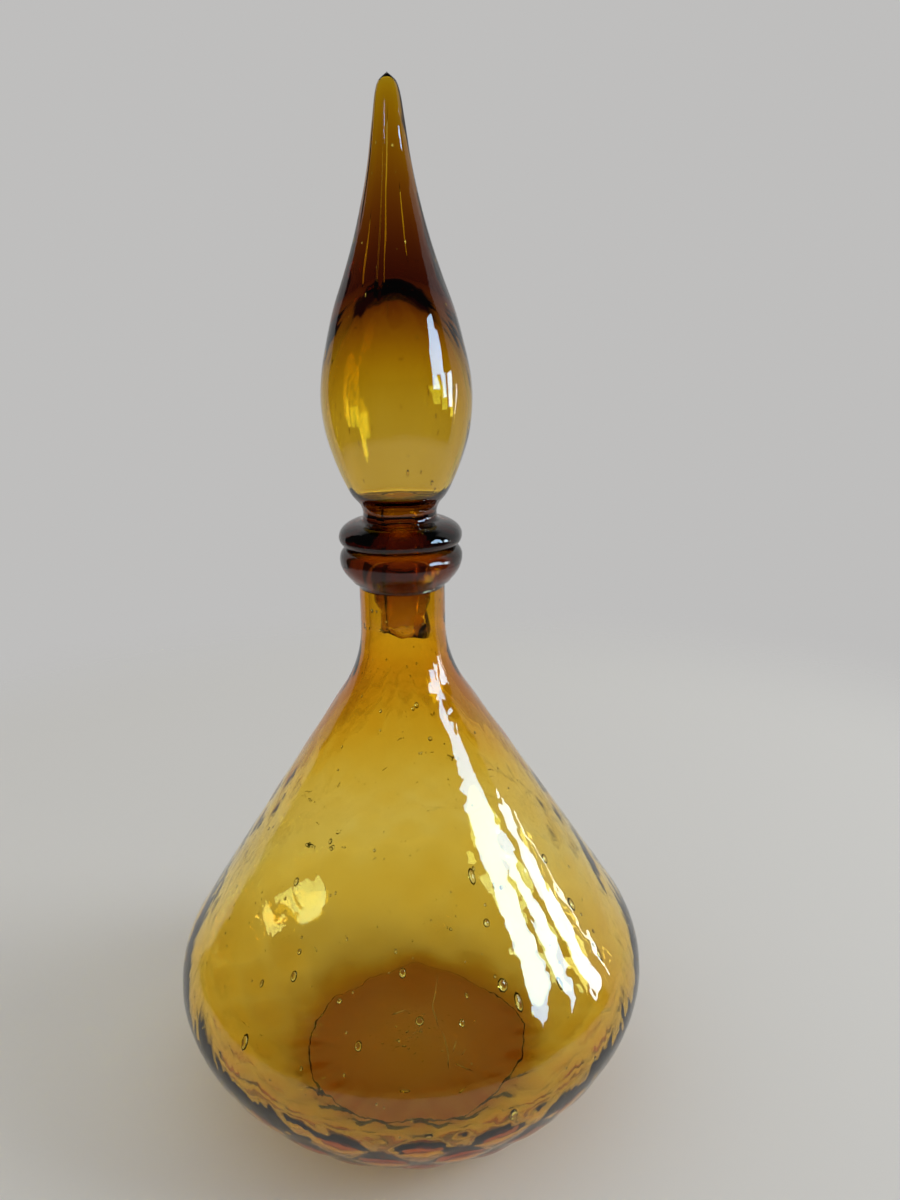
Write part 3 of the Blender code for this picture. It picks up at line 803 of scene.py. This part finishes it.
def addWorld():
    world = bpy.data.worlds.new("soft_room")
    scene.world = world
    world.use_nodes = True
    nodes, links = world.node_tree.nodes, world.node_tree.links
    nodes.clear()

    def calc(operation, *values):
        return mathNode(nodes, links, operation, *values)

    def rising(value, middle, soft):
        return rampNode(nodes, links, value, middle - soft, middle + soft)

    def falling(value, middle, soft):
        return calc("SUBTRACT", 1, rising(value, middle, soft))

    def background(colour, strength=None):
        node = nodes.new("ShaderNodeBackground")
        node.inputs["Color"].default_value = (*colour, 1)
        if strength is not None:
            links.new(strength, node.inputs["Strength"])
        return node.outputs["Background"]

    w = room
    coordinates = nodes.new("ShaderNodeTexCoord")
    parts = nodes.new("ShaderNodeSeparateXYZ")
    links.new(coordinates.outputs["Generated"], parts.inputs["Vector"])
    azimuth = calc("DEGREES", calc("ARCTAN2", parts.outputs["X"], parts.outputs["Y"]))
    elevation = calc("DEGREES", calc("ARCSINE", parts.outputs["Z"]))
    path = nodes.new("ShaderNodeLightPath").outputs

    # what is seen straight through the glass is the backdrop on every side
    through = calc("GREATER_THAN", path["Transmission Depth"], w["wallsSeen"])
    opened = rising(calc("ABSOLUTE", azimuth), w["openFrom"], w["openSoft"])
    through = calc("MAXIMUM", through, opened)
    through = calc("MULTIPLY", through, calc("LESS_THAN", path["Glossy Depth"], 0.5))
    through = calc("MULTIPLY", through, path["Is Transmission Ray"])
    cloth = calc("MULTIPLY", rising(azimuth, w["clothLeft"], w["clothSoft"]),
                 falling(azimuth, w["clothRight"], w["clothSoft"]))
    cloth = calc("MAXIMUM", cloth, through)
    cloth = calc("MULTIPLY", cloth, falling(elevation, w["clothTop"], w["clothTopSoft"]))
    cloth = calc("MAXIMUM", cloth, w["dark"] / w["backdrop"][1])

    # the light on the table, with more of it where it comes through the glass
    gain = calc("GREATER_THAN", path["Transmission Depth"], 0.5)
    gain = calc("MULTIPLY", gain, w["ambient"] * (w["throughGlass"] - 1))
    ambient = background(w["ambientColour"], calc("ADD", w["ambient"], gain))

    mirrored = calc("MAXIMUM", path["Is Glossy Ray"], path["Is Transmission Ray"])
    mirrored = calc("MULTIPLY", mirrored, calc("LESS_THAN", path["Diffuse Depth"], 0.5))
    seen = mixedShader(nodes, links, mirrored, ambient, background(w["backdrop"], cloth))
    seen = mixedShader(nodes, links, path["Is Camera Ray"], seen, background(w["backdrop"]))
    output = nodes.new("ShaderNodeOutputWorld")
    links.new(seen, output.inputs["Surface"])


def addLamp(name, azimuth, elevation, distance, aim, shape, size):
    # an area lamp on the bottle's sky, facing a point on the axis
    a, e = math.radians(azimuth), math.radians(elevation)
    towards = Vector((math.sin(a) * math.cos(e), math.cos(a) * math.cos(e), math.sin(e)))
    lamp = bpy.data.lights.new(name, "AREA")
    lamp.shape = shape
    lamp.size, lamp.size_y = size
    holder = bpy.data.objects.new(name, lamp)
    scene.collection.objects.link(holder)
    holder.location = Vector((0, 0, aim)) + towards * distance
    holder.rotation_euler = towards.to_track_quat("Z", "Y").to_euler()
    holder.visible_camera = False
    return holder


def addPane(azLow, azHigh, elLow, elHigh, colour):
    # a pane is there for the glass alone
    distance, elevation = windowPanes["distance"], (elLow + elHigh) / 2
    narrowing = math.cos(math.radians(elevation))
    size = (2 * distance * math.tan(math.radians(azHigh - azLow) / 2) * narrowing,
            2 * distance * math.tan(math.radians(elHigh - elLow) / 2))
    holder = addLamp("window_pane", (azLow + azHigh) / 2, elevation, distance,
                     windowPanes["aim"], "RECTANGLE", size)
    holder.data.color = [c / max(colour) for c in colour]
    holder.data.energy = max(colour) * math.pi * holder.data.size * holder.data.size_y
    holder.visible_diffuse = False


def addKeyLight():
    # the soft light on the table
    k = keyLight
    holder = addLamp("key_light", k["azimuth"], k["elevation"], k["distance"], 0,
                     "SQUARE", (k["size"], k["size"]))
    holder.data.energy = k["power"]
    holder.data.color = k["colour"]
    holder.visible_glossy = holder.visible_transmission = False


addFloor()
addWorld()
for pane in windowPanes["panes"]:
    addPane(*pane)
addKeyLight()
print("studio ready")


# camera

camera = {"place": (0, -0.2877, 0.2660), "pitch": 17.1, "yaw": 3.05, "roll": -0.83,
          "lens": 27.9, "sensor": 36.0, "nearest": 0.01}
cameraData = bpy.data.cameras.new("camera")
cameraData.sensor_fit = "VERTICAL"
cameraData.sensor_height = camera["sensor"]
cameraData.lens = camera["lens"]
cameraData.clip_start = camera["nearest"]
cameraObject = bpy.data.objects.new("camera", cameraData)
scene.collection.objects.link(cameraObject)
cameraObject.matrix_world = (Matrix.Translation(camera["place"])
                             @ Matrix.Rotation(math.radians(-camera["yaw"]), 4, "Z")
                             @ Matrix.Rotation(math.radians(90 - camera["pitch"]), 4, "X")
                             @ Matrix.Rotation(math.radians(camera["roll"]), 4, "Z"))
scene.camera = cameraObject
scene.view_settings.view_transform = "Standard"
scene.cycles.transmission_bounces = 16  # the glass has many faces one behind another
scene.cycles.max_bounces = 20
